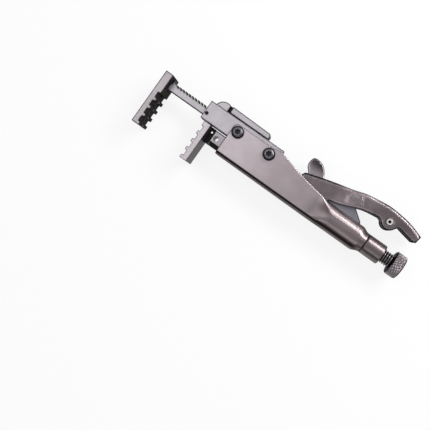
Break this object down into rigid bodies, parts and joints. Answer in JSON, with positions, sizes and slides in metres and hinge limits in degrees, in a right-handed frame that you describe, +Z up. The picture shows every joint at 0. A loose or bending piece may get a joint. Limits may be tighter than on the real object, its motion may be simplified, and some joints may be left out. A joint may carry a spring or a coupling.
{
  "type": "hose clamp pliers",
  "caption": "Straight locking pliers for flat hose clamps: a ratcheting front jaw slides towards a sprung rear jaw, closed by a toggle handle and set by an end screw.",
  "frame": {"origin": "middle of the tool's footprint, on the surface it lies on", "axes": "+X along the tool from the front jaw to the adjuster knob, +Y from the jaw tips towards the moving handle, +Z up through the thickness, from the side it lies on"},
  "size_m": [0.2452, 0.0654, 0.023],
  "materials": {
    "satin_steel": "satin plated steel",
    "phosphate_steel": "dark phosphate coating on pressed steel",
    "blackened_steel": "black oxide",
    "bright_steel": "bright ground steel",
    "spring_steel": "drawn spring wire"
  },
  "bodies": {
    "body": {"body_channel": "phosphate_steel", "bar_housing": "satin_steel", "housing_guard": "satin_steel", "adjuster_nut": "phosphate_steel", "housing_screw_near_1": "blackened_steel", "housing_screw_near_2": "blackened_steel", "housing_screw_far_1": "blackened_steel", "housing_screw_far_2": "blackened_steel", "bar_drag_screw": "blackened_steel", "pawl_pin": "satin_steel", "pawl_spring": "spring_steel", "spring_anchor_post": "bright_steel", "return_spring": "spring_steel"},
    "ratchet_jaw": {"front_jaw": "satin_steel", "ratchet_bar": "satin_steel", "bar_stop_pin": "bright_steel"},
    "pawl": {"ratchet_pawl": "satin_steel"},
    "slider": {"push_bar": "satin_steel", "rear_jaw": "satin_steel", "rear_jaw_pin": "bright_steel", "spring_hook_post": "bright_steel", "handle_pivot_pin": "bright_steel"},
    "handle": {"handle_shell": "phosphate_steel", "link_pin": "bright_steel", "release_rivet": "bright_steel"},
    "link": {"toggle_link": "blackened_steel"},
    "release": {"release_lever": "phosphate_steel"},
    "thrust_cap": {"screw_thrust_cap": "blackened_steel"},
    "screw": {"adjusting_screw": "blackened_steel", "adjuster_knob": "phosphate_steel"}
  },
  "joints": [
    {"name": "bar_slide", "type": "slide", "parent": "body", "child": "ratchet_jaw", "axis": [1, 0, 0], "range_m": [-0.0186, 0.0279]},
    {"name": "pawl_rock", "type": "hinge", "parent": "body", "child": "pawl", "pos_m": [-0.06395, 0.0166, 0.0115], "axis": [0, 0, 1], "range_deg": [-5, 9], "stiffness_Nm_per_rad": 0.05, "deforming": ["pawl_spring"]},
    {"name": "handle_swing", "type": "hinge", "parent": "slider", "child": "handle", "pos_m": [0.01205, -0.003, 0.0115], "axis": [0, 0, 1], "range_deg": [0, 40]},
    {"name": "push_slide", "type": "slide", "parent": "body", "child": "slider", "axis": [1, 0, 0], "range_m": [0, 0.006], "deforming": ["return_spring"]},
    {"name": "link_swing", "type": "hinge", "parent": "handle", "child": "link", "pos_m": [0.03805, -0.0036, 0.0115], "axis": [0, 0, 1], "range_deg": [-62, 0]},
    {"name": "release_press", "type": "hinge", "parent": "handle", "child": "release", "pos_m": [0.0934, 0.02199, 0.0115], "axis": [0, 0, 1], "range_deg": [0, 3], "stiffness_Nm_per_rad": 0.5},
    {"name": "screw_travel", "type": "slide", "parent": "body", "child": "thrust_cap", "axis": [1, 0, 0], "range_m": [0, 0.006]},
    {"name": "screw_turn", "type": "hinge", "parent": "thrust_cap", "child": "screw", "pos_m": [0.11315, -0.003, 0.0115], "axis": [1, 0, 0], "range_deg": [0, 1080]}
  ],
  "couplings": [
    {"joint": "push_slide", "follows": "handle_swing", "m_per_rad": 0.0085943},
    {"joint": "link_swing", "follows": "handle_swing", "ratio": -1.5415},
    {"joint": "screw_turn", "follows": "screw_travel", "rad_per_m": 3141.6}
  ]
}
